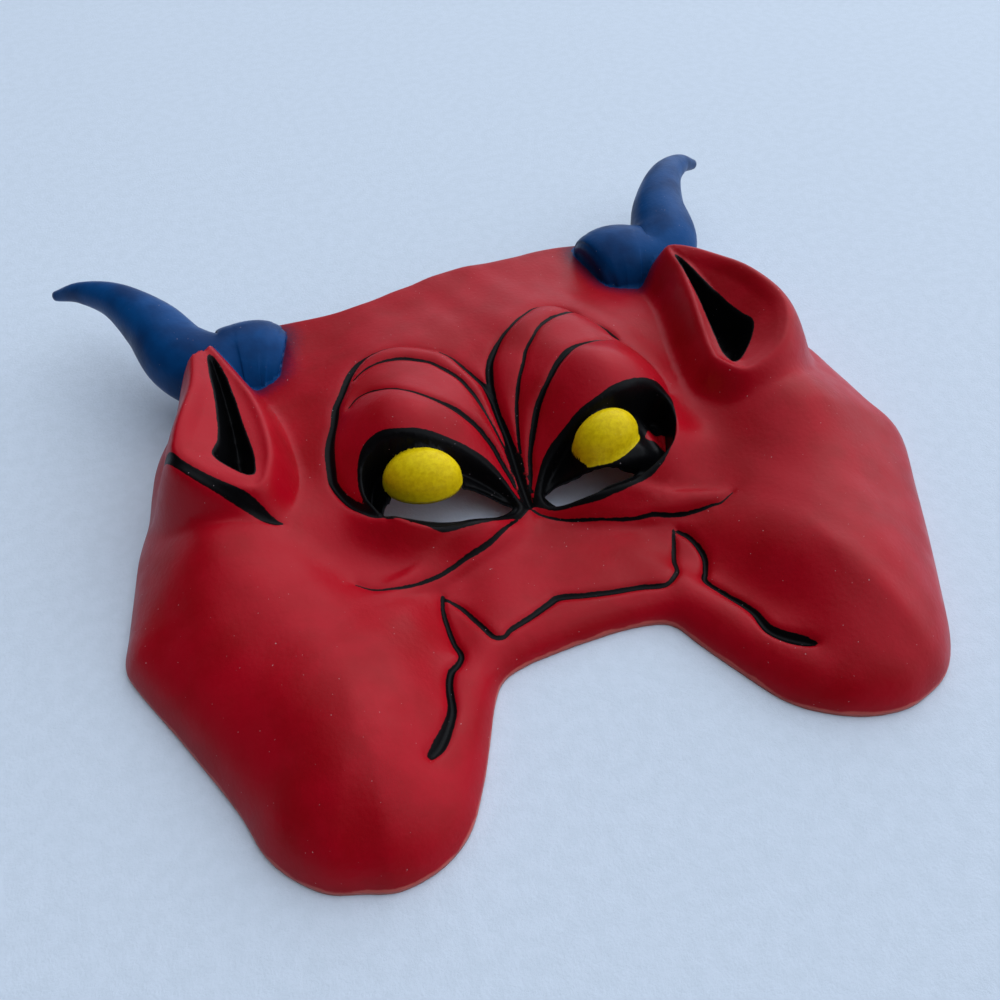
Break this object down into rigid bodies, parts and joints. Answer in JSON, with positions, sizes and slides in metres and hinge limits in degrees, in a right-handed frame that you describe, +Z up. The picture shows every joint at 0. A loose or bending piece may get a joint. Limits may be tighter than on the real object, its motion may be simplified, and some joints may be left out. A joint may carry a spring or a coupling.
{
  "type": "devil half mask",
  "caption": "Soft vinyl devil half mask with horns, pointed ears, domed eyeballs over see-through slots and an arched lower edge, lying face up.",
  "frame": {"origin": "middle of the mask's outline, on the surface that its rim lies on", "axes": "+X across the face towards the right of someone looking down at it, +Y from the jowls up to the forehead, +Z up out of the face"},
  "size_m": [0.2642, 0.2512, 0.0405],
  "materials": {
    "painted_vinyl": "satin gloss red soft vinyl with black painted folds, blue sprayed horns and yellow eyeballs"
  },
  "bodies": {
    "root": {"mask_shell": "painted_vinyl"}
  },
  "joints": []
}
